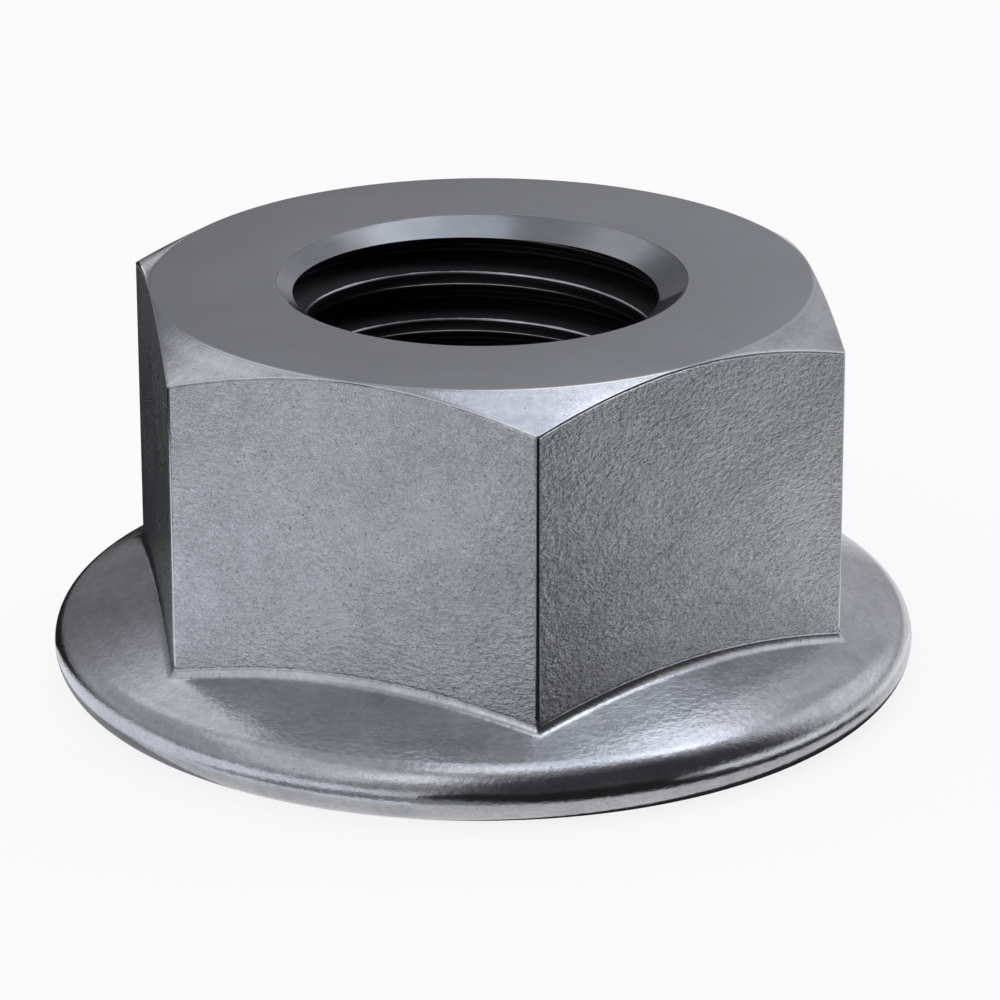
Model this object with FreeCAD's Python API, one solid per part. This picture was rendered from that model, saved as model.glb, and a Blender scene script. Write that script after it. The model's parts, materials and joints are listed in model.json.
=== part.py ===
"""Serrated flange nut, cold-formed from one slug of steel and tapped M8 x 1.

Millimetres, +Z up along the thread axis. The origin is the centre of the bearing face,
so the nut stands on its flange. Two opposite corners of the hexagon point along Y.
"""
import FreeCAD, Part
import math
import os

# Hexagon
across_flats = 13.0
nut_height = 8.0
hexagon_sides = 6
hexagon_edge_radius = 0.1
top_face_setback = 0.02
top_chamfer_angle = 30.0

# Flange
flange_reach = 1.05
flange_slope = 23.6
rim_radius = 0.65
flange_fillet_radius = 0.32

# Tapped hole, shown at the minor diameter of the thread
thread_diameter = 8.0
thread_pitch = 1.0
countersink_angle = 120.0
top_countersink_width = 0.03
bottom_countersink_width = 0.15

# Serrated bearing face
recess_diameter = 10.0
recess_depth = 0.45
tooth_count = 24
tooth_depth = 0.35
tooth_land_angle = 1.4
tooth_steep_angle = 0.8
tooth_runout_length = 0.35
outer_land_width = 0.15

# How far cutting tools stand clear of the faces they cut through
tool_overrun = 0.5

Z_AXIS = FreeCAD.Vector(0, 0, 1)
ORIGIN = FreeCAD.Vector(0, 0, 0)

flat_radius = across_flats / 2
corner_radius = flat_radius / math.cos(math.pi / hexagon_sides)
flange_radius = corner_radius + flange_reach
bearing_radius = flange_radius - rim_radius
minor_radius = (thread_diameter - 5 / 8 * math.sqrt(3) * thread_pitch) / 2


def on_section(radius, height):
    """A point of the half section, which is drawn in the XZ plane."""
    return FreeCAD.Vector(radius, 0, height)


def polar(radius, angle_degrees, height):
    angle = math.radians(angle_degrees)
    return FreeCAD.Vector(radius * math.cos(angle), radius * math.sin(angle), height)


def revolved(edges):
    """The solid that a closed half section makes about the thread axis."""
    return Part.Face(Part.Wire(edges)).revolve(ORIGIN, Z_AXIS, 360)


def revolved_outline(points):
    return revolved(Part.makePolygon(points + points[:1]).Edges)


def rim_tangent_point():
    """Where the cone of the flange runs into the round of the rim."""
    slope = math.radians(flange_slope)
    return on_section(
        bearing_radius + rim_radius * math.sin(slope),
        rim_radius + rim_radius * math.cos(slope),
    )


def cone_height(radius):
    """Height of the sloping top of the flange at a radius."""
    tangent = rim_tangent_point()
    return tangent.z + (tangent.x - radius) * math.tan(math.radians(flange_slope))


def flange():
    """A disc with a conical top and a fully rounded rim."""
    foot = on_section(bearing_radius, 0)
    widest = on_section(flange_radius, rim_radius)
    tangent = rim_tangent_point()
    apex = on_section(0, cone_height(0))
    return revolved([
        Part.makeLine(ORIGIN, foot),
        Part.Arc(foot, widest, tangent).toShape(),
        Part.makeLine(tangent, apex),
        Part.makeLine(apex, ORIGIN),
    ])


def hexagon_outline():
    """The six flats, joined by the small rounds of the wrench corners."""
    half_turn = math.pi / hexagon_sides
    corner_centre_radius = corner_radius - hexagon_edge_radius / math.cos(half_turn)
    edges = []
    previous_end = None
    first_start = None
    for side in range(hexagon_sides):
        corner_angle = 90 + side * 360 / hexagon_sides
        centre = polar(corner_centre_radius, corner_angle, 0)
        half_arc = 180 / hexagon_sides
        start = centre + polar(hexagon_edge_radius, corner_angle - half_arc, 0)
        middle = centre + polar(hexagon_edge_radius, corner_angle, 0)
        end = centre + polar(hexagon_edge_radius, corner_angle + half_arc, 0)
        if previous_end is None:
            first_start = start
        else:
            edges.append(Part.makeLine(previous_end, start))
        edges.append(Part.Arc(start, middle, end).toShape())
        previous_end = end
    edges.append(Part.makeLine(previous_end, first_start))
    return Part.Wire(edges)


def hexagon():
    """The wrench hexagon, its upper corners turned off by a 30 degree chamfer."""
    prism = Part.Face(hexagon_outline()).extrude(Z_AXIS * nut_height)
    top_face_radius = flat_radius - top_face_setback
    envelope_radius = corner_radius + tool_overrun
    fall = (envelope_radius - top_face_radius) * math.tan(math.radians(top_chamfer_angle))
    envelope = revolved_outline([
        ORIGIN,
        on_section(envelope_radius, 0),
        on_section(envelope_radius, nut_height - fall),
        on_section(top_face_radius, nut_height),
        on_section(0, nut_height),
    ])
    return prism.common(envelope)


def is_flange_junction(edge):
    """True for the edges where the flats and corners of the hexagon meet the cone."""
    for vertex in edge.Vertexes:
        radius = math.hypot(vertex.X, vertex.Y)
        if radius > corner_radius:
            return False
        if abs(vertex.Z - cone_height(radius)) > hexagon_edge_radius / 100:
            return False
    return True


def blank():
    """Hexagon and flange as forged, with the fillet between them."""
    joined = hexagon().fuse(flange()).removeSplitter()
    junction = [edge for edge in joined.Edges if is_flange_junction(edge)]
    return joined.makeFillet(flange_fillet_radius, junction)


def hole():
    """The hole at the thread's minor diameter, with both countersinks and the recess."""
    rise = 1 / math.tan(math.radians(countersink_angle / 2))
    top_radius = thread_diameter / 2 + top_countersink_width
    bottom_radius = thread_diameter / 2 + bottom_countersink_width
    recess_radius = recess_diameter / 2
    above = nut_height + tool_overrun
    return revolved_outline([
        on_section(0, -tool_overrun),
        on_section(recess_radius, -tool_overrun),
        on_section(recess_radius, recess_depth),
        on_section(bottom_radius, recess_depth),
        on_section(minor_radius, recess_depth + (bottom_radius - minor_radius) * rise),
        on_section(minor_radius, nut_height - (top_radius - minor_radius) * rise),
        on_section(top_radius, nut_height),
        on_section(top_radius, above),
        on_section(0, above),
    ])


def tooth_gap(angle_degrees):
    """The gap between two ratchet teeth, a slim pyramid with its tip on the axis.

    Its steep side bites when the nut is loosened and its long side slides when the nut
    is tightened. Its outer end slopes up to the bearing face inside the rounded rim.
    """
    tooth_angle = 360 / tooth_count
    long_side_angle = tooth_angle - tooth_steep_angle - tooth_land_angle
    outer_radius = bearing_radius - outer_land_width
    steep_edge = polar(outer_radius, angle_degrees - tooth_steep_angle, 0)
    valley = polar(outer_radius - tooth_runout_length, angle_degrees, tooth_depth)
    long_edge = polar(outer_radius, angle_degrees + long_side_angle, 0)
    below_steep_edge = steep_edge + (steep_edge - valley)
    below_long_edge = long_edge + (long_edge - valley)
    corners = [ORIGIN, below_steep_edge, valley, below_long_edge]
    faces = []
    for left_out in range(4):
        triangle = [corner for index, corner in enumerate(corners) if index != left_out]
        faces.append(Part.Face(Part.makePolygon(triangle + triangle[:1])))
    return Part.Solid(Part.Shell(faces))


def flange_nut():
    nut = blank().cut(hole())
    for tooth in range(tooth_count):
        nut = nut.cut(tooth_gap(tooth * 360 / tooth_count))
    return nut.removeSplitter()


os.makedirs("parts", exist_ok=True)
flange_nut().exportStep("parts/flange_nut.step")
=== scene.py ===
import json
import math

import bpy
from mathutils import Matrix, Vector


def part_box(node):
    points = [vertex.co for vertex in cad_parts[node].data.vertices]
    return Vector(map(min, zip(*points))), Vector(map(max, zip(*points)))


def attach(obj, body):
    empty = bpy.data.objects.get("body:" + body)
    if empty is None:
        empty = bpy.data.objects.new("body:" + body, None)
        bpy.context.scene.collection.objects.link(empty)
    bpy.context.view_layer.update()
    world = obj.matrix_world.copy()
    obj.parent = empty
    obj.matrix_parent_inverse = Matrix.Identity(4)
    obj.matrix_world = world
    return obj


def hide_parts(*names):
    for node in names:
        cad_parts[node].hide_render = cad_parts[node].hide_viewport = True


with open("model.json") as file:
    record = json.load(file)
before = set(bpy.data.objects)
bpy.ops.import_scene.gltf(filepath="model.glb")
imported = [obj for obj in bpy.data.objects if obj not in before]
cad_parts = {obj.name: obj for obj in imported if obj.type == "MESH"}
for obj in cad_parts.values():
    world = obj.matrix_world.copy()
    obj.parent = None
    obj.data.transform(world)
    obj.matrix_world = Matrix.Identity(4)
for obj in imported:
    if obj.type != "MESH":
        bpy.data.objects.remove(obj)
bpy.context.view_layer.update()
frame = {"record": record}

MM = 0.001

# Camera
# It stands a hand's breadth in front of the nut and looks a little down on it, so that the
# top, two faces of the hexagon and a sliver of a third are seen.
CAMERA_PLACE = Vector((-13.734, -101.094, 42.245)) * MM
CAMERA_TURN = math.radians(-7.927)
CAMERA_DROP = math.radians(20.867)
CAMERA_ROLL = math.radians(-0.174)
CAMERA_LENS = 198.12
CAMERA_SENSOR = 36.0

camera = bpy.data.objects.new("camera", bpy.data.cameras.new("camera"))
camera.data.lens = CAMERA_LENS
camera.data.sensor_width = CAMERA_SENSOR
camera.data.clip_start = 5 * MM
camera.data.clip_end = 10.0
camera.matrix_world = (
    Matrix.Translation(CAMERA_PLACE)
    @ Matrix.Rotation(CAMERA_TURN, 4, "Z")
    @ Matrix.Rotation(math.pi / 2 - CAMERA_DROP, 4, "X")
    @ Matrix.Rotation(CAMERA_ROLL, 4, "Z")
)
bpy.context.scene.collection.objects.link(camera)
bpy.context.scene.camera = camera

# Nut
# One piece of steel, cold-formed with its hexagon, flange and ratchet teeth and pierced, then
# countersunk and tapped with a fine right-hand thread. It stands on its flange.
ACROSS_FLATS = 13.0 * MM
TOP_FACE_SETBACK = 0.02 * MM
TOP_CHAMFER = math.radians(30)
HEXAGON_EDGE_ROUND = 0.1 * MM
RIM_RADIUS = 0.65 * MM
FLANGE_SLOPE = math.radians(23.6)
FLANGE_FILLET = 0.32 * MM
THREAD_DIAMETER = 8.0 * MM
THREAD_PITCH = 1.0 * MM
THREAD_START = 0.0325 * MM
COUNTERSINK_SLOPE = math.radians(30)
TOP_MOUTH_WIDTH = 0.03 * MM
BOTTOM_MOUTH_WIDTH = 0.15 * MM
RECESS_RADIUS = 5.0 * MM
RECESS_DEPTH = 0.45 * MM
TOOTH_COUNT = 24
TOOTH_DEPTH = 0.35 * MM
TOOTH_STEEP = math.radians(0.8)
TOOTH_LAND = math.radians(1.4)
TOOTH_RUNOUT = 0.35 * MM
OUTER_LAND = 0.15 * MM
WORN_EDGE = 0.03 * MM
MOUTH_WEAR_SHARE = 0.4
WELD_DISTANCE = 0.001 * MM
FACE_GAP = 0.002 * MM
SHARP_EDGE = math.radians(35)
NO_EDGE = 10 * MM

low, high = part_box("flange_nut")
thread_mount = next(m for m in frame["record"]["mounts"] if m["name"] == "thread")
corner_turn = math.pi / 3
tooth_turn = 2 * math.pi / TOOTH_COUNT


class Wire:
    """A socket of a node tree, or the bare tree. Sums and the like become Math nodes."""

    def __init__(self, tree, socket=None):
        self.tree = tree
        self.socket = socket

    def node(self, kind, settings=None, values=None):
        """Adds a node, makes its settings, fills its sockets and gives its first output."""
        node = self.tree.nodes.new(kind)
        for name, setting in (settings or {}).items():
            setattr(node, name, setting)
        for key, value in (values or {}).items():
            if isinstance(value, Wire):
                self.tree.links.new(value.socket, node.inputs[key])
            elif isinstance(value, list):
                for wire in value:
                    self.tree.links.new(wire.socket, node.inputs[key])
            else:
                node.inputs[key].default_value = value
        return Wire(self.tree, next((s for s in node.outputs if s.enabled), None))

    def output(self, name):
        return Wire(self.tree, self.socket.node.outputs[name])

    def math(self, operation, other=None):
        values = {0: self} if other is None else {0: self, 1: other}
        return self.node("ShaderNodeMath", {"operation": operation}, values)

    def reflected(self, operation, other):
        return self.node("ShaderNodeMath", {"operation": operation}, {0: other, 1: self})

    def __add__(self, other):
        return self.math("ADD", other)

    def __radd__(self, other):
        return self.reflected("ADD", other)

    def __sub__(self, other):
        return self.math("SUBTRACT", other)

    def __rsub__(self, other):
        return self.reflected("SUBTRACT", other)

    def __mul__(self, other):
        return self.math("MULTIPLY", other)

    def __rmul__(self, other):
        return self.reflected("MULTIPLY", other)

    def __truediv__(self, other):
        return self.math("DIVIDE", other)

    def __rtruediv__(self, other):
        return self.reflected("DIVIDE", other)

    def __mod__(self, other):
        return self.math("FLOORED_MODULO", other)

    def __pow__(self, other):
        return self.math("POWER", other)

    def __lt__(self, other):
        return self.math("LESS_THAN", other)

    def __gt__(self, other):
        return self.math("GREATER_THAN", other)

    def at_most(self, other):
        return self.math("MINIMUM", other)

    def at_least(self, other):
        return self.math("MAXIMUM", other)


def part_way(start, end, share):
    """What lies a share of the way from start to end; a point is (radius, height)."""
    if isinstance(start, tuple):
        return tuple(part_way(first, last, share) for first, last in zip(start, end))
    return start + (end - start) * share


def between_rays(angle, first, first_value, last, last_value):
    """Reads at an angle what is straight in space between two rays from the axis."""
    start_part = (last - angle).math("SINE") * first_value
    end_part = (angle - first).math("SINE") * last_value
    return (start_part + end_part) / math.sin(last - first)


nut_tree = bpy.data.node_groups.new("nut_shape", "GeometryNodeTree")
nut_tree.interface.new_socket("Mesh", in_out="OUTPUT", socket_type="NodeSocketGeometry")
nut_inputs = nut_tree.nodes.new("NodeGroupInput")
shape = Wire(nut_tree)
sizes = {}


def named_size(name, value):
    """A named input of the shape's tree, which the modifier fills with the value."""
    socket = nut_tree.interface.new_socket(name, in_out="INPUT", socket_type="NodeSocketFloat")
    sizes[socket.identifier] = value
    return Wire(nut_tree, nut_inputs.outputs[name])


flat_radius = named_size("Half across flats", ACROSS_FLATS / 2)
nut_height = named_size("Nut height", high.z - low.z)
top_setback = named_size("Top face setback", TOP_FACE_SETBACK)
chamfer_fall = named_size("Top chamfer fall", math.tan(TOP_CHAMFER))
edge_round = named_size("Hexagon edge round", HEXAGON_EDGE_ROUND)
flange_radius = named_size("Flange radius", min(high.x, -low.x, high.y, -low.y))
rim_radius = named_size("Rim radius", RIM_RADIUS)
flange_slope = named_size("Flange slope", FLANGE_SLOPE)
flange_fillet = named_size("Flange fillet", FLANGE_FILLET)
major_radius = named_size("Thread major radius", THREAD_DIAMETER / 2)
minor_radius = named_size("Thread minor radius", thread_mount["dims"]["r_mm"] * MM)
pitch = named_size("Thread pitch", THREAD_PITCH)
thread_start = named_size("Thread start", THREAD_START)
countersink_fall = named_size("Countersink fall", math.tan(COUNTERSINK_SLOPE))
top_mouth_width = named_size("Top mouth width", TOP_MOUTH_WIDTH)
bottom_mouth_width = named_size("Bottom mouth width", BOTTOM_MOUTH_WIDTH)
recess_radius = named_size("Recess radius", RECESS_RADIUS)
recess_depth = named_size("Recess depth", RECESS_DEPTH)
tooth_depth = named_size("Tooth depth", TOOTH_DEPTH)
tooth_runout = named_size("Tooth runout", TOOTH_RUNOUT)
outer_land = named_size("Outer land", OUTER_LAND)
worn_edge = named_size("Worn edge", WORN_EDGE)

# Every strip of the nut is a grid. Its columns go once round the thread axis and its rows go
# along the half section. The columns stand close together at the wrench corners and lie on
# the edges of the teeth. A corner's round takes up one small turn on either side of it.
ROUND_TURN = math.radians(0.39)
BESIDE_ROUND_TURN = math.radians(0.5)
TOOTH_COLUMNS = [
    (3, ROUND_TURN),
    (1, BESIDE_ROUND_TURN),
    (10, tooth_turn - TOOTH_STEEP - TOOTH_LAND - ROUND_TURN - BESIDE_ROUND_TURN),
    (2, TOOTH_LAND),
    (1, TOOTH_STEEP - ROUND_TURN),
    (3, ROUND_TURN),
]
columns_per_tooth = sum(count for count, turn in TOOTH_COLUMNS)
columns = TOOTH_COUNT * columns_per_tooth

grid_place = shape.node("ShaderNodeSeparateXYZ", values={0: shape.node("GeometryNodeInputPosition")})
turn_share = grid_place.output("X") + 0.5
along = grid_place.output("Y") + 0.5
tooth_number = (turn_share * TOOTH_COUNT).math("FLOOR")
column = (turn_share * TOOTH_COUNT - tooth_number) * columns_per_tooth
tooth_angle = 0
columns_before = 0
for count, turn in TOOTH_COLUMNS:
    columns_here = (column - columns_before).at_least(0).at_most(count)
    tooth_angle = tooth_angle + columns_here * (turn / count)
    columns_before += count
angle = tooth_number * tooth_turn + tooth_angle
grid_strips = []


def strip(rows, point, edge_gaps=(NO_EDGE, NO_EDGE, NO_EDGE)):
    """Bends a grid of some rows round the axis, each row at the radius and height of point.

    The edge gaps are the distances to the worn edges at its two ends and to the nearest
    wrench corner, kept for the finish.
    """
    radius, height = point
    grid = shape.node("GeometryNodeMeshGrid", values={
        "Size X": 1.0, "Size Y": 1.0, "Vertices X": columns + 1, "Vertices Y": rows + 1})
    gaps = shape.node("ShaderNodeCombineXYZ", values=dict(enumerate(edge_gaps)))
    marked = shape.node(
        "GeometryNodeStoreNamedAttribute", {"data_type": "FLOAT_VECTOR", "domain": "CORNER"},
        {"Geometry": grid, "Name": "edge_gaps", "Value": gaps})
    place = shape.node("ShaderNodeCombineXYZ", values={
        0: radius * angle.math("COSINE"), 1: radius * angle.math("SINE"), 2: height})
    grid_strips.append(shape.node("GeometryNodeSetPosition", values={
        "Geometry": marked, "Position": place}))


def distance(start, end):
    return ((end[0] - start[0]) ** 2 + (end[1] - start[1]) ** 2).math("SQRT")


def straight(start, end, rows=1, worn_start=False, worn_end=False, corner_gap=NO_EDGE):
    length = distance(start, end)
    strip(rows, part_way(start, end, along), (
        along * length if worn_start else NO_EDGE,
        (1 - along) * length if worn_end else NO_EDGE,
        corner_gap,
    ))


def bend(start, corner, end, rows=4, worn=True):
    """A smooth bend that leaves start towards the corner and comes from there to end."""
    point = part_way(part_way(start, corner, along), part_way(corner, end, along), along)
    strip(rows, point, (0.0 if worn else NO_EDGE, NO_EDGE, NO_EDGE))


def toward(start, end, reach, most=0.45):
    """The point at a distance from start on the way to end, at most a share of the way."""
    return part_way(start, end, (reach / distance(start, end)).at_most(most))


# The hexagon's wall, with the small round of its wrench corners
corner_angle = (angle % corner_turn) - corner_turn / 2
from_corner = corner_angle.math("ABSOLUTE")
sharp_wall = flat_radius / (corner_turn / 2 - from_corner).math("COSINE")
round_centre = (flat_radius - edge_round) / math.cos(corner_turn / 2)
across_round = round_centre * from_corner.math("SINE")
round_wall = round_centre * from_corner.math("COSINE") + (
    edge_round ** 2 - across_round ** 2).at_least(0).math("SQRT")
round_end = (edge_round * math.sin(corner_turn / 2)) / (
    round_centre + edge_round * math.cos(corner_turn / 2))
in_round = from_corner.math("TANGENT") < round_end
wall = part_way(sharp_wall, round_wall, in_round)
corner_gap = wall * from_corner.math("SINE")

# Top face, chamfer, wall, fillet and the sloping top of the flange
bearing_radius = flange_radius - rim_radius
rim_top = (
    bearing_radius + rim_radius * flange_slope.math("SINE"),
    rim_radius + rim_radius * flange_slope.math("COSINE"),
)
flange_fall = flange_slope.math("TANGENT")
top_radius = flat_radius - top_setback
top_mouth = (major_radius + top_mouth_width, nut_height)
crown = (top_radius, nut_height)
shoulder = (wall, nut_height - (wall - top_radius) * chamfer_fall)
foot = (wall, rim_top[1] + (rim_top[0] - wall) * flange_fall)
fillet_reach = flange_fillet / ((math.pi / 2 + flange_slope) / 2).math("TANGENT")
mouth_bend = worn_edge * MOUTH_WEAR_SHARE
top_mouth_inside = (top_mouth[0] - mouth_bend, nut_height - mouth_bend * countersink_fall)
bend(top_mouth_inside, top_mouth, toward(top_mouth, crown, worn_edge))
straight(
    toward(top_mouth, crown, worn_edge), toward(crown, top_mouth, worn_edge),
    rows=2, worn_start=True, worn_end=True)
bend(toward(crown, top_mouth, worn_edge), crown, toward(crown, shoulder, worn_edge))
straight(
    toward(crown, shoulder, worn_edge), toward(shoulder, crown, worn_edge),
    worn_start=True, worn_end=True)
bend(toward(shoulder, crown, worn_edge), shoulder, toward(shoulder, foot, worn_edge))
straight(
    toward(shoulder, foot, worn_edge), toward(foot, shoulder, fillet_reach),
    rows=3, worn_start=True, corner_gap=corner_gap)
bend(
    toward(foot, shoulder, fillet_reach), foot, toward(foot, rim_top, fillet_reach),
    rows=8, worn=False)
straight(toward(foot, rim_top, fillet_reach), rim_top, rows=2)

# The full round of the rim
RIM_ROWS = 24
rim_angle = part_way(math.pi / 2 - flange_slope, -math.pi / 2, along)
strip(RIM_ROWS, (
    bearing_radius + rim_radius * rim_angle.math("COSINE"),
    rim_radius + rim_radius * rim_angle.math("SINE"),
))

# The ratchet teeth. Each gap between two of them has a steep side, which bites when the nut
# is loosened, and a long side; both lie on planes through the middle of the bearing face.
JUST_OVER = 1.001
past_land = tooth_angle > (tooth_turn - TOOTH_STEEP * JUST_OVER)
gap_angle = tooth_angle - past_land * tooth_turn
long_end = tooth_turn - TOOTH_STEEP - TOOTH_LAND
tooth_radius = bearing_radius - outer_land
valley_radius = tooth_radius - tooth_runout
valley_rise = tooth_depth / valley_radius
steep_rise = between_rays(gap_angle, -TOOTH_STEEP, 0.0, 0.0, valley_rise)
long_rise = between_rays(gap_angle, 0.0, valley_rise, long_end, 0.0)
rise = steep_rise.at_most(long_rise).at_least(0)
steep_closeness = between_rays(gap_angle, -TOOTH_STEEP, 1 / tooth_radius, 0.0, 1 / valley_radius)
long_closeness = between_rays(gap_angle, 0.0, 1 / valley_radius, long_end, 1 / tooth_radius)
runout_start = 1 / steep_closeness.at_most(long_closeness).at_least(1 / tooth_radius)
end_closeness = between_rays(gap_angle, -TOOTH_STEEP, 1 / tooth_radius, long_end, 1 / tooth_radius)
runout_end = 1 / end_closeness.at_least(1 / tooth_radius)

bottom_mouth = (major_radius + bottom_mouth_width, recess_depth)
bottom_mouth_inside = (
    bottom_mouth[0] - worn_edge,
    recess_depth + worn_edge * countersink_fall,
)
recess_corner = (recess_radius, recess_depth)
tooth_start = (recess_radius, recess_radius * rise)
straight((bearing_radius, 0.0), (runout_end, 0.0))
straight((runout_end, 0.0), (runout_start, runout_start * rise))
straight((runout_start, runout_start * rise), tooth_start, rows=4)
straight(tooth_start, recess_corner)
straight(recess_corner, toward(bottom_mouth, recess_corner, worn_edge))
bend(toward(bottom_mouth, recess_corner, worn_edge), bottom_mouth, bottom_mouth_inside)

# The thread. Its stations are the edges of its roots and of its worn crests, which climb one
# pitch a turn, and between two stations a row slides to where a countersink cuts the flank.
# A station is its rise and its depth, as shares of the pitch and of the thread's depth.
ROOT_WIDTH = 1 / 8
FLANK_RISE = 5 / 16
CREST_WIDTH = 1 / 4
WORN_CREST = 0.03
WORN_FLANK = 0.015
worn_depth = WORN_FLANK / FLANK_RISE
crest_start = ROOT_WIDTH + FLANK_RISE
crest_end = crest_start + CREST_WIDTH
STATIONS = [
    (0.0, 1.0),
    (ROOT_WIDTH, 1.0),
    (crest_start - WORN_FLANK, worn_depth),
    (crest_start + WORN_CREST, 0.0),
    (crest_end - WORN_CREST, 0.0),
    (crest_end + WORN_FLANK, worn_depth),
]
thread_turns = math.ceil((high.z - low.z) / THREAD_PITCH) + 1
thread_rows = thread_turns * len(STATIONS) * 2
row = (along * thread_rows).math("ROUND")
sliding = row % 2
climb = thread_start - pitch + pitch * angle / (2 * math.pi)


def countersunk(height):
    """Radius of the countersinks at a height; the thread shows where it lies further out."""
    from_top = top_mouth[0] - (nut_height - height) / countersink_fall
    from_bottom = bottom_mouth[0] - (height - recess_depth) / countersink_fall
    return from_top.at_least(from_bottom)


def stepped(step, values):
    """Reads the value of a step from a short list, as a wire."""
    reading = values[0]
    for index in range(1, len(values)):
        reading = reading + (step > index - 0.5) * (values[index] - values[index - 1])
    return reading


def station(number):
    """Radius and height of a root edge or crest edge, counted up from the lowest."""
    turn = (number / len(STATIONS)).math("FLOOR")
    step = number - turn * len(STATIONS)
    rises, depths = zip(*STATIONS)
    radius = part_way(minor_radius, major_radius, stepped(step, depths))
    return radius, climb + pitch * (turn + stepped(step, rises))


lower = station((row - sliding) / 2)
upper = station((row + sliding) / 2)
lower_clear = lower[0] - countersunk(lower[1])
upper_clear = upper[0] - countersunk(upper[1])
crosses = (lower_clear * upper_clear) < 0
crossing = lower_clear / (lower_clear - upper_clear)
slide = sliding * part_way(0.5, crossing, crosses)
thread_point = part_way(lower, upper, slide)
thread_height = thread_point[1].at_least(bottom_mouth_inside[1]).at_most(top_mouth_inside[1])
strip(thread_rows, (thread_point[0].at_least(countersunk(thread_height)), thread_height))

# The strips are welded into one closed skin, smooth but for the sharp edges.
joined = shape.node("GeometryNodeJoinGeometry", values={0: grid_strips})
welded = shape.node("GeometryNodeMergeByDistance", values={
    "Geometry": joined, "Distance": WELD_DISTANCE})
outward = shape.node("GeometryNodeFlipFaces", values={"Mesh": welded})
is_sharp = shape.node("GeometryNodeInputMeshEdgeAngle") > SHARP_EDGE
smooth = shape.node("GeometryNodeSetShadeSmooth", {"domain": "FACE"}, {
    "Geometry": outward, "Shade Smooth": True})
creased = shape.node("GeometryNodeSetShadeSmooth", {"domain": "EDGE"}, {
    "Geometry": smooth, "Selection": is_sharp, "Shade Smooth": False})
realized = shape.node("GeometryNodeRealizeInstances", values={"Geometry": creased})


def empty_surface(name):
    """A new material with an empty node tree, and the wire that starts its nodes."""
    material = bpy.data.materials.new(name)
    material.use_nodes = True
    material.node_tree.nodes.clear()
    return material, Wire(material.node_tree)


def in_millimetres(place):
    return place.node("ShaderNodeVectorMath", {"operation": "SCALE"}, {0: place, "Scale": 1 / MM})


def fade(wire, start, end):
    """Goes smoothly from 0 at start to 1 at end."""
    return wire.node("ShaderNodeMapRange", {"interpolation_type": "SMOOTHSTEP"}, {
        "Value": wire, "From Min": start, "From Max": end})


def grains(place, size, detail=2.0):
    """Soft random grains of a size in millimetres, from 0 to 1."""
    return place.node("ShaderNodeTexNoise", values={
        "Vector": place, "Scale": 1 / size, "Detail": detail, "Roughness": 0.6})


def ring_place(place, drawn):
    """Coordinates that draw a grain out along a ring round the axis, more for a smaller value."""
    sides = place.node("ShaderNodeSeparateXYZ", values={0: place})
    return place.node("ShaderNodeCombineXYZ", values={
        0: (sides ** 2 + sides.output("Y") ** 2).math("SQRT"),
        1: sides.output("Z"),
        2: (sides + sides.output("Y")) * drawn,
    })


def blended(share, first, second):
    """A colour a share of the way from the first to the second."""
    return share.node("ShaderNodeMix", {"data_type": "RGBA"}, {0: share, 6: first, 7: second})


def metal(surface, tone, roughness, depth, relief):
    """A bare metal whose relief is up to a depth in millimetres, and its output."""
    bumped = surface.node("ShaderNodeBump", values={
        "Strength": 1.0, "Distance": depth * MM, "Height": relief})
    surface.node("ShaderNodeOutputMaterial", values={"Surface": surface.node(
        "ShaderNodeBsdfPrincipled", values={
            "Base Color": tone,
            "Metallic": 1.0,
            "Roughness": roughness,
            "Normal": bumped,
        })})


# Formed steel: a leathery grain with small dark specks, as scale leaves it in the dies, broad
# faint stains, a plain top and thin bright worn edges. Lengths here are in millimetres.
STEEL_DARK = (0.27, 0.275, 0.285, 1)
STEEL_LIGHT = (0.5, 0.505, 0.525, 1)
STEEL_WORN = (0.58, 0.595, 0.62, 1)
STEEL_SPECK = (0.06, 0.06, 0.065, 1)
STEEL_TONE = 0.5
TOP_TONE = 0.38
FLANGE_ROUGHNESS = 0.17
WALL_ROUGHNESS = 0.26
TOP_ROUGHNESS = 0.24
RELIEF_DEPTH = 0.046
FLANGE_RELIEF = 0.12
TOP_RELIEF = 0.02
WALL_FOOT = 1.4
WALL_BLEND = 0.3
CLOUD_SIZE = 1.6
CLOUD_STAIN = 0.9
CLOUD_ROUGHNESS = 0.1
MOTTLE_SIZE = 0.35
MOTTLE_STAIN = 0.5
SMEAR_SIZE = 0.45
SMEAR_DRAW = 0.15
SMEAR_STAIN = 0.9
GRAIN_SIZE = 0.13
GRAIN_PRESS = 1.7
GRAIN_STAIN = 0.7
PORE_SIZE = 0.04
PORE_STAIN = 0.4
WALL_PORE_STAIN = 1.2
PORE_RELIEF = 0.22
TOP_STAIN = 0.15
SPECK_SIZE = 0.06
SPECK_START = 0.7
SPECK_FULL = 0.78
SPECK_STAIN = 0.6
SPECK_RELIEF = 0.15
WORN_REACH = 0.03
WORN_WAVER = 0.04
WORN_STAIN = 0.3
RUBBED_REACH = 0.04
RUBBED_BLEND = 0.01
RUBBED_GLOSS = 0.5

formed_steel, formed = empty_surface("formed_steel")
coordinates = formed.node("ShaderNodeTexCoord")
place = in_millimetres(coordinates.output("Object"))
height = formed.node("ShaderNodeSeparateXYZ", values={0: place}).output("Z")

# A face looks up by 0 on the wall, by about 0.9 on the chamfer and the flange and by 1 on top.
looks_up = formed.node(
    "ShaderNodeSeparateXYZ", values={0: coordinates.output("Normal")}).output("Z")
on_wall = fade(looks_up.math("ABSOLUTE"), 0.3, 0.05) * fade(height, WALL_FOOT, WALL_FOOT + WALL_BLEND)
on_top = fade(looks_up, 0.955, 0.99)

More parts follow.
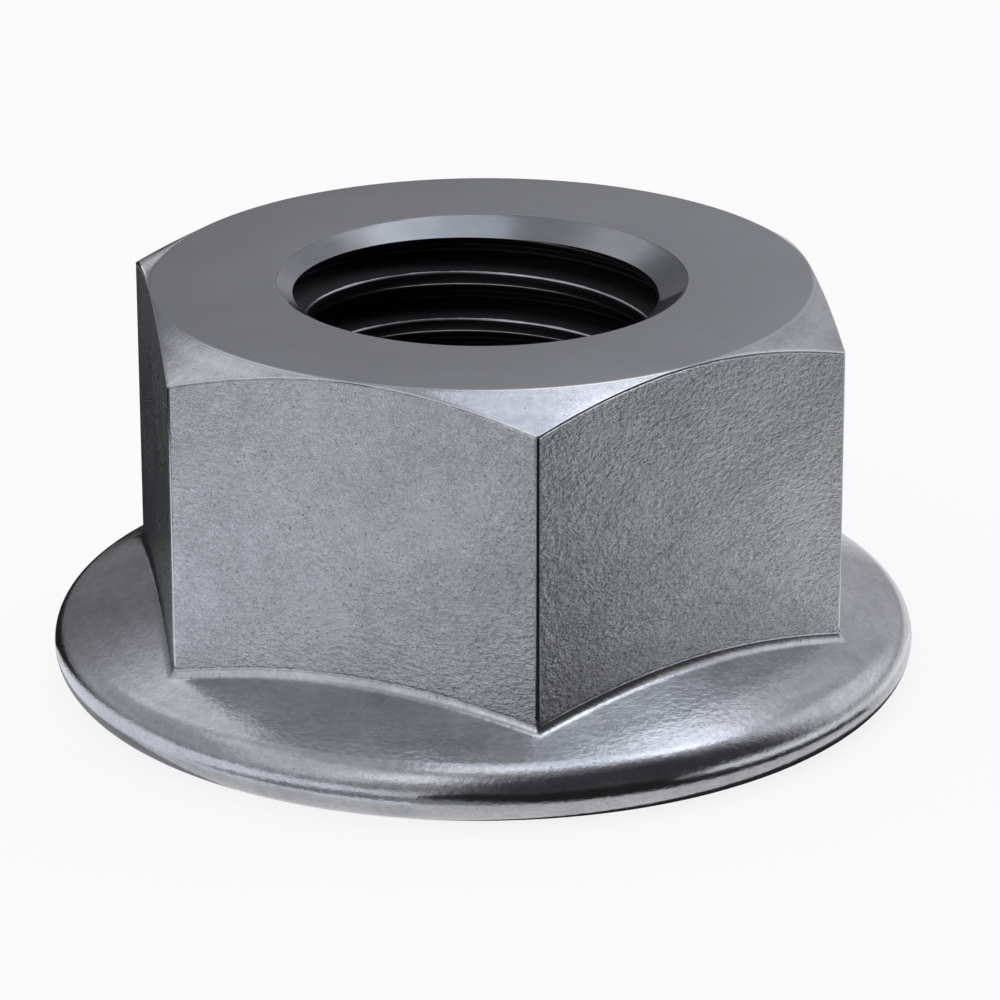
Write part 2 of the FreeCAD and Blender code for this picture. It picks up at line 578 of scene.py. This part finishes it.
clouds = grains(place, CLOUD_SIZE, detail=3.0)
mottle = grains(place, MOTTLE_SIZE, detail=3.0)
smears = grains(ring_place(place, SMEAR_DRAW), SMEAR_SIZE)
pressed = formed.node("ShaderNodeVectorMath", {"operation": "MULTIPLY"}, {
    0: place, 1: (1, 1, GRAIN_PRESS)})
grain = grains(pressed, GRAIN_SIZE, detail=3.0)
pores = grains(pressed, PORE_SIZE)
specks = fade(grains(place, SPECK_SIZE, detail=1.0), SPECK_START, SPECK_FULL) * (1 - on_top)
gaps = formed.node("ShaderNodeSeparateXYZ", values={0: formed.node(
    "ShaderNodeAttribute", {"attribute_name": "edge_gaps"}).output("Vector")})
edge_gap = gaps.at_most(gaps.output("Y")) / MM
worn = fade(edge_gap + (mottle - 0.5) * WORN_WAVER, WORN_REACH, 0.0)
rubbed_corner = fade(gaps.output("Z") / MM, RUBBED_REACH + RUBBED_BLEND, RUBBED_REACH)
rubbed = rubbed_corner.at_least(worn)

stain = (clouds - 0.5) * CLOUD_STAIN + (mottle - 0.5) * MOTTLE_STAIN
stain = stain + (smears - 0.5) * (1 - on_wall) * SMEAR_STAIN + (grain - 0.5) * GRAIN_STAIN
stain = stain + (pores - 0.5) * part_way(PORE_STAIN, WALL_PORE_STAIN, on_wall)
tone_share = part_way(STEEL_TONE, TOP_TONE, on_top) + stain * part_way(1, TOP_STAIN, on_top)
tone = blended(tone_share, STEEL_DARK, STEEL_LIGHT)
tone = blended(specks * SPECK_STAIN, tone, STEEL_SPECK)
tone = blended(worn * WORN_STAIN, tone, STEEL_WORN)
roughness = part_way(part_way(FLANGE_ROUGHNESS, WALL_ROUGHNESS, on_wall), TOP_ROUGHNESS, on_top)
roughness = (roughness + (clouds - 0.5) * CLOUD_ROUGHNESS) * (1 - rubbed * RUBBED_GLOSS)
relief = grain + pores * PORE_RELIEF
relief = relief * part_way(part_way(FLANGE_RELIEF, 1, on_wall), TOP_RELIEF, on_top)
relief = (relief - specks * on_wall * SPECK_RELIEF) * (1 - rubbed)
metal(formed, tone, roughness, RELIEF_DEPTH, relief)

# Turned steel: the countersinks, smooth and darker than the formed steel, with fine rings.
TURNED_DARK = (0.16, 0.165, 0.175, 1)
TURNED_LIGHT = (0.27, 0.275, 0.285, 1)
TURNED_ROUGHNESS = 0.1
TOOL_MARK_DRAW = 0.02
RING_SIZE = 0.035
RING_DEPTH = 0.002
RING_STAIN = 0.4
RING_ROUGHNESS = 0.05
FILM_SIZE = 0.6
FILM_STAIN = 0.6
FILM_ROUGHNESS = 0.08

turned_steel, turned = empty_surface("turned_steel")
place = in_millimetres(turned.node("ShaderNodeTexCoord").output("Object"))
rings = grains(ring_place(place, TOOL_MARK_DRAW), RING_SIZE)
film = grains(place, FILM_SIZE)
tone = blended(film * FILM_STAIN + rings * RING_STAIN, TURNED_DARK, TURNED_LIGHT)
roughness = TURNED_ROUGHNESS + film * FILM_ROUGHNESS + rings * RING_ROUGHNESS
metal(turned, tone, roughness, RING_DEPTH, rings)

# Tapped steel: the thread, near black but for the thin worn edges of its crests
# and a faint line along its roots.
THREAD_BLACK = (0.022, 0.022, 0.023, 1)
THREAD_BARE = (0.32, 0.33, 0.34, 1)
THREAD_ROUGHNESS = 0.45
BARE_CREST_REACH = 0.022
BARE_CREST_GLOSS = 0.25
BARE_ROOT_REACH = 0.02
BARE_ROOT_TONE = 0.3
BARE_BLEND = 0.012
SCUFF_SIZE = 0.3
SCUFF_REACH = 0.02
DRAG_SIZE = 0.04
DRAG_DEPTH = 0.001
DRAG_STAIN = 0.1
DRAG_ROUGHNESS = 0.1

tapped_steel, tapped = empty_surface("tapped_steel")
place = in_millimetres(tapped.node("ShaderNodeTexCoord").output("Object"))
sides = tapped.node("ShaderNodeSeparateXYZ", values={0: place})
turns = sides.output("Y").math("ARCTAN2", sides) / (2 * math.pi)
thread_rise = (sides.output("Z") - THREAD_START / MM) / (THREAD_PITCH / MM) - turns


def edges_of(middle, width):
    """Distance up the thread, in millimetres, from the nearer edge of a crest or root."""
    from_middle = ((thread_rise - middle + 0.5) % 1 - 0.5).math("ABSOLUTE")
    return (from_middle - width / 2).math("ABSOLUTE") * (THREAD_PITCH / MM)


drag = grains(ring_place(place, TOOL_MARK_DRAW), DRAG_SIZE, detail=3.0)
scuffs = (grains(place, SCUFF_SIZE) - 0.5) * SCUFF_REACH
crest_edges = edges_of((crest_start + crest_end) / 2, CREST_WIDTH) + scuffs
root_edges = edges_of(ROOT_WIDTH / 2, ROOT_WIDTH) + scuffs
bare_crest = fade(crest_edges, BARE_CREST_REACH, BARE_CREST_REACH - BARE_BLEND)
bare_root = fade(root_edges, BARE_ROOT_REACH, BARE_ROOT_REACH - BARE_BLEND)
bareness = bare_crest + bare_root * BARE_ROOT_TONE + (drag - 0.5) * DRAG_STAIN
tone = blended(bareness, THREAD_BLACK, THREAD_BARE)
roughness = THREAD_ROUGHNESS + drag * DRAG_ROUGHNESS - bare_crest.at_most(1) * BARE_CREST_GLOSS
metal(tapped, tone, roughness, DRAG_DEPTH, drag)

# The hole is turned steel, its thread tapped steel, and all the rest formed steel.
face_place = shape.node("ShaderNodeSeparateXYZ", values={
    0: shape.node("GeometryNodeInputPosition")})
face_height = face_place.output("Z")
face_radius = (face_place ** 2 + face_place.output("Y") ** 2).math("SQRT")
in_hole = (
    (face_radius < bottom_mouth[0])
    * (face_height > recess_depth + FACE_GAP) * (face_height < nut_height - FACE_GAP))
in_thread = in_hole * (face_radius - countersunk(face_height) > FACE_GAP)
painted = shape.node("GeometryNodeSetMaterial", values={
    "Geometry": realized, "Material": formed_steel})
painted = shape.node("GeometryNodeSetMaterial", values={
    "Geometry": painted, "Selection": in_hole, "Material": turned_steel})
finished = shape.node("GeometryNodeSetMaterial", values={
    "Geometry": painted, "Selection": in_thread, "Material": tapped_steel})
shape.node("NodeGroupOutput", values={0: finished})

# What the tree makes becomes a plain mesh, whose shading leans on its larger faces.
nut = bpy.data.objects.new("nut", bpy.data.meshes.new("nut"))
bpy.context.scene.collection.objects.link(nut)
shape_modifier = nut.modifiers.new("shape", "NODES")
shape_modifier.node_group = nut_tree
for identifier, value in sizes.items():
    shape_modifier[identifier] = value
weighting = nut.modifiers.new("weighting", "WEIGHTED_NORMAL")
weighting.keep_sharp = True
depsgraph = bpy.context.evaluated_depsgraph_get()
nut_mesh = bpy.data.meshes.new_from_object(
    nut.evaluated_get(depsgraph), preserve_all_data_layers=True, depsgraph=depsgraph)
nut.modifiers.clear()
nut.data = nut_mesh
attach(nut, "root")
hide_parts("flange_nut")

# Floor
# A sheet of matt white board that the nut stands on, wide enough to reach past every view.
# To the camera and in the steel it is mostly an even white, which keeps a faint shadow.
FLOOR_REACH = 2.0
FLOOR_WHITE = (0.85, 0.85, 0.85, 1)
FLOOR_GLOW = 0.86

floor_paint, board = empty_surface("white_board")
paths = board.node("ShaderNodeLightPath")
seen = paths.at_least(paths.output("Is Glossy Ray")).at_least(paths.output("Is Transmission Ray"))
matt = board.node("ShaderNodeBsdfDiffuse", values={"Color": FLOOR_WHITE})
glow = board.node("ShaderNodeEmission", values={"Color": (1, 1, 1, 1), "Strength": 1.0})
board.node("ShaderNodeOutputMaterial", values={"Surface": board.node(
    "ShaderNodeMixShader", values={0: seen * FLOOR_GLOW, 1: matt, 2: glow})})

floor_mesh = bpy.data.meshes.new("floor")
floor_mesh.from_pydata(
    [(x * FLOOR_REACH, y * FLOOR_REACH, 0) for x, y in ((-1, -1), (1, -1), (1, 1), (-1, 1))],
    [], [(0, 1, 2, 3)])
floor_mesh.materials.append(floor_paint)
floor = bpy.data.objects.new("floor", floor_mesh)
bpy.context.scene.collection.objects.link(floor)

# Reflection sheets
# Glowing sheets on the floor, black, grey and brighter than white, that only the steel sees:
# painted reflections. They give it the dark stretches it would lack over nothing but white board.
REFLECTION_SHEET_STEP = 0.02 * MM
ARC_STEPS = 24
BLACK = (0.03, 0.03, 0.03)


def painted_reflection(name, colour, level, corners):
    """A glowing sheet on the floor, or on the lower sheets, that paints a reflection; its corners are
    in millimetres.
    """
    paint, reflection_glow = empty_surface(name)
    reflection_glow.node("ShaderNodeOutputMaterial", values={"Surface": reflection_glow.node(
        "ShaderNodeEmission", values={"Color": (*colour, 1), "Strength": 1.0})})
    mesh = bpy.data.meshes.new(name)
    mesh.from_pydata(
        [(x * MM, y * MM, level * REFLECTION_SHEET_STEP) for x, y in corners], [],
        [tuple(range(len(corners)))])
    mesh.materials.append(paint)
    sheet = bpy.data.objects.new(name, mesh)
    sheet.visible_camera = False
    sheet.visible_diffuse = False
    sheet.visible_shadow = False
    bpy.context.scene.collection.objects.link(sheet)


def arc(radius, start, end, last_radius=None):
    """Points round the nut, between two turns in degrees, at a radius in millimetres."""
    points = []
    for step in range(ARC_STEPS + 1):
        turn = math.radians(part_way(start, end, step / ARC_STEPS))
        reach = part_way(radius, last_radius or radius, step / ARC_STEPS)
        points.append((reach * math.cos(turn), reach * math.sin(turn)))
    return points


# Each of these sheets paints a reflection in the steel, dark, grey or brighter than white.
painted_reflection("front_dark_reflection", BLACK, 1, arc(9.1, -108, -30) + [(90, -12), (60, -90), (-25, -90)])
painted_reflection("right_grey_reflection", (0.74, 0.76, 0.77), 2, [(4.0, -10.1)] + arc(9.8, -46, 5) + arc(30, 5, -42))
painted_reflection("near_bright_reflection", (1.3, 1.32, 1.34), 3, [(4.9, -9.4)] + arc(9.8, -45, 5) + arc(13.5, 5, -57))
painted_reflection("left_bright_reflection", (1.18, 1.21, 1.32), 2, arc(8.9, -185, -107) + arc(26, -120.5, -185))
painted_reflection("far_dark_reflection", (0.12, 0.12, 0.12), 1, arc(26, -185, -115) + arc(120, -115, -185))
# A nearly black sheet behind the nut on its left: a painted shadow of the nut, which the left wall
# reflects.
painted_reflection("back_painted_shadow", (0.015, 0.015, 0.015), 1, arc(8.9, 168, 88) + [(25, 70), (-45, 70), (-45, 1.5)])
# A black band round the front and right of the rim's foot: the painted contact shadow under the rim,
# which the rim reflects.
painted_reflection("rim_painted_shadow", BLACK, 2, arc(8.0, -130, 80) + arc(8.6, 80, -40) + arc(8.6, -40, -130, 8.0))
painted_reflection("side_grey_reflection", (0.33, 0.34, 0.36), 3, (
    arc(8.0, -250, -125) + arc(8.0, -125, -155, 8.8)
    + arc(8.8, -155, -195) + arc(8.8, -195, -250, 8.0)))
painted_reflection("streak_grey_reflection", (0.36, 0.37, 0.39), 4, (
    arc(9.1, -145, -90) + arc(9.1, -90, -116, 10.2) + arc(10.2, -116, -145, 9.1)))

# Studio light
# A soft box nearly overhead, a dimmer one in front to the left, and a grey room with lighter
# and darker patches, which is dark near the floor and in front to the right.
SOFTBOX_DISTANCE = 0.3
ROOM_COLOUR = (0.96, 0.965, 1.02, 1)
ROOM_BRIGHTNESS = 0.68
HORIZON_BRIGHTNESS = 0.4
HORIZON_BLEND = 0.12


def aim(azimuth, elevation):
    """The direction of an azimuth, from +X towards +Y, and an elevation, in degrees."""
    turned, raised = math.radians(azimuth), math.radians(elevation)
    return Vector((
        math.cos(raised) * math.cos(turned), math.cos(raised) * math.sin(turned), math.sin(raised)))


def softbox(name, azimuth, elevation, size, brightness, colour):
    """A round lamp whose face is as bright as a white surface times the brightness."""
    lamp = bpy.data.objects.new(name, bpy.data.lights.new(name, "AREA"))
    lamp.data.shape = "DISK"
    lamp.data.size = size
    lamp.data.energy = brightness * (math.pi * size / 2) ** 2
    lamp.data.color = colour
    direction = aim(azimuth, elevation)
    lamp.location = direction * SOFTBOX_DISTANCE
    lamp.rotation_euler = direction.to_track_quat("Z", "Y").to_euler()
    bpy.context.scene.collection.objects.link(lamp)


softbox("softbox_overhead", 18, 74, 0.236, 0.85, (0.8, 0.9, 1.04))
softbox("softbox_left", -142, 36, 0.26, 0.4, (0.9, 0.95, 1.0))

world = bpy.data.worlds.new("studio")
bpy.context.scene.world = world
world.use_nodes = True
world.node_tree.nodes.clear()
sky = Wire(world.node_tree)
direction = sky.node("ShaderNodeTexCoord").output("Generated")


def glow_toward(azimuth, elevation, inner, outer):
    """1 within an inner angle of a direction, fading to 0 at an outer angle."""
    closeness = sky.node("ShaderNodeVectorMath", {"operation": "DOT_PRODUCT"}, {
        0: direction, 1: aim(azimuth, elevation)})
    return fade(closeness, math.cos(math.radians(outer)), math.cos(math.radians(inner)))


# A patch of the room is its azimuth, its elevation, the angles from its middle where it starts
# to fade and where it ends, all in degrees, and the brightness that it adds or takes away.
ROOM_PATCHES = [
    (126, 46, 5, 18, 0.5),
    (12, 22, 14, 36, 0.6),
    (-115, 38, 9, 18, 0.8),
    (57, 58, 7, 17, 0.75),
    (4, 66, 4, 12, 1.2),
    (-95, 76, 6, 14, 0.9),
    (175, 50, 6, 14, 0.4),
    (102, 5, 8, 38, -0.42),
]
DARK_SIDE = (-55, 8, 34, 66)
DARK_SIDE_DEPTH = 0.89

room = ROOM_BRIGHTNESS
for azimuth, elevation, inner, outer, brightness in ROOM_PATCHES:
    room = room + glow_toward(azimuth, elevation, inner, outer) * brightness
upward = sky.node("ShaderNodeSeparateXYZ", values={0: direction}).output("Z")
room = room * (1 - glow_toward(*DARK_SIDE) * DARK_SIDE_DEPTH)
room = room * part_way(HORIZON_BRIGHTNESS, 1, fade(upward, 0.0, HORIZON_BLEND))
sky.node("ShaderNodeOutputWorld", values={"Surface": sky.node(
    "ShaderNodeBackground", values={"Color": ROOM_COLOUR, "Strength": room})})

bpy.context.scene.view_settings.view_transform = "Standard"
